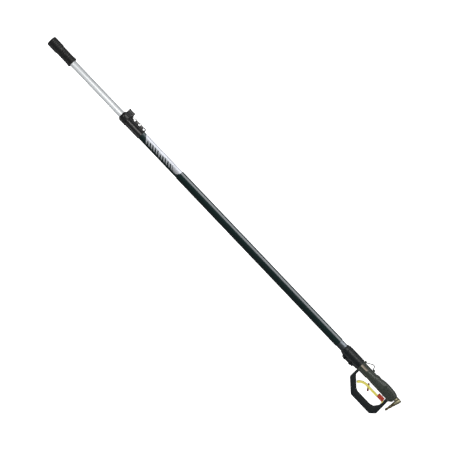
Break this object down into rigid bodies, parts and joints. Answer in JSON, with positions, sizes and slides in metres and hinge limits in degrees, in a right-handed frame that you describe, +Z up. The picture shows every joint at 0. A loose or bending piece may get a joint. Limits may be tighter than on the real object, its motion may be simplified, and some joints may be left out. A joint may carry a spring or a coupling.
{
  "type": "telescoping spray lance",
  "caption": "Telescoping pressure-washer lance with an in-line trigger gun, closed hand guard, swivel inlet, flip-lock pole clamp and rubber nozzle guard.",
  "frame": {"origin": "on the floor that the lance lies on, under the middle of its bounding box", "axes": "+X along the poles towards the nozzle, +Y towards the hand guard (down in use), +Z up off the floor (left in use)"},
  "size_m": [1.8128, 0.1354, 0.0456],
  "materials": {
    "moulded_black": "moulded glass-filled plastic, fine texture",
    "trigger_yellow": "moulded plastic, semi-gloss",
    "trigger_red": "moulded plastic, semi-gloss",
    "latch_red": "moulded plastic, semi-gloss",
    "steel": "turned steel pins, pipes and springs",
    "zinc_wire": "dull zinc-plated steel wire",
    "screw_steel": "zinc-plated screws",
    "brass": "turned brass, dulled",
    "pale_brass": "forged brass, dull nickel cast",
    "dark_brass": "turned brass, dark and tarnished",
    "bright_steel": "bright zinc-plated bolts",
    "black_bolt": "black oxide steel",
    "seal_rubber": "smooth nitrile",
    "copper": "soft copper washer",
    "white_nylon": "natural nylon",
    "grey_nylon": "black nylon",
    "clamp_rubbery": "soft-touch moulded plastic",
    "clamp_black": "moulded plastic",
    "lever_black": "moulded plastic",
    "dark_anodised": "dark anodised aluminium",
    "bare_aluminium": "bare drawn aluminium",
    "cover_green": "heat-shrunk plastic cover, semi-gloss",
    "label_film": null,
    "guard_rubber": "moulded rubber"
  },
  "bodies": {
    "lance": {"left_shell": "moulded_black", "right_shell": "moulded_black", "housing_screws": "screw_steel", "trigger_pin": "steel", "valve_body": "brass", "valve_seat": "steel", "valve_spring": "steel", "valve_plug": "brass", "plug_washer": "copper", "pin_seal": "seal_rubber", "gland_nut": "brass", "inlet_stub": "brass", "swivel_nut": "pale_brass", "swivel_seal": "seal_rubber", "gun_clamp": "clamp_rubbery", "gun_clamp_bolts": "black_bolt", "gun_clamp_nuts": "black_bolt", "outer_tube": "dark_anodised", "tube_sleeve": "cover_green", "tube_label": "label_film", "tube_end_plug": "grey_nylon", "supply_pipe": "steel", "pole_clamp": "clamp_black", "pole_clamp_bolts": "bright_steel", "pole_clamp_nuts": "bright_steel", "cam_pin": "bright_steel", "brake_shoe": "white_nylon", "collar_bush": "white_nylon"},
    "sliding_pole": {"inner_tube": "bare_aluminium", "lower_bush": "white_nylon", "jet_pipe": "steel", "seal_carrier": "brass", "pipe_seals": "seal_rubber", "nozzle_holder": "brass", "nozzle": "steel", "nozzle_guard": "guard_rubber"},
    "cam_lever": {"cam_lever": "lever_black"},
    "trigger": {"trigger": "trigger_yellow", "trigger_block": "trigger_red", "latch_pin": "steel"},
    "safety_latch": {"safety_latch": "latch_red"},
    "valve_plunger": {"push_pin": "steel", "valve_ball": "steel"},
    "strap_loop": {"strap_loop": "zinc_wire"},
    "inlet_elbow": {"swivel_elbow": "pale_brass", "hose_plug": "dark_brass"}
  },
  "joints": [
    {"name": "pole_slide", "type": "slide", "parent": "lance", "child": "sliding_pole", "axis": [1, 0, 0], "range_m": [-0.249, 0.716]},
    {"name": "cam_lever_hinge", "type": "hinge", "parent": "lance", "child": "cam_lever", "pos_m": [0.51814, -0.06125, 0.0216], "axis": [1, 0, 0], "range_deg": [0, 110]},
    {"name": "trigger_pull", "type": "hinge", "parent": "lance", "child": "trigger", "pos_m": [-0.86386, 0.00975, 0.0216], "axis": [0, 0, -1], "range_deg": [0, 8], "stiffness_Nm_per_rad": 5, "springref_deg": -8.59},
    {"name": "latch_fold", "type": "hinge", "parent": "trigger", "child": "safety_latch", "pos_m": [-0.78536, 0.00475, 0.0216], "axis": [0, 0, 1], "range_deg": [0, 35]},
    {"name": "plunger_slide", "type": "slide", "parent": "lance", "child": "valve_plunger", "axis": [0, -1, 0], "range_m": [0, 0.0034], "deforming": ["valve_spring"]},
    {"name": "strap_loop_swing", "type": "hinge", "parent": "lance", "child": "strap_loop", "pos_m": [-0.73536, -0.05145, 0.0216], "axis": [1, 0, 0], "range_deg": [-75, 75]},
    {"name": "inlet_swivel", "type": "hinge", "parent": "lance", "child": "inlet_elbow", "pos_m": [-0.88936, -0.03785, 0.0216], "axis": [1, 0, 0], "continuous": true}
  ],
  "couplings": [
    {"joint": "plunger_slide", "follows": "trigger_pull", "m_per_rad": 0.022}
  ]
}
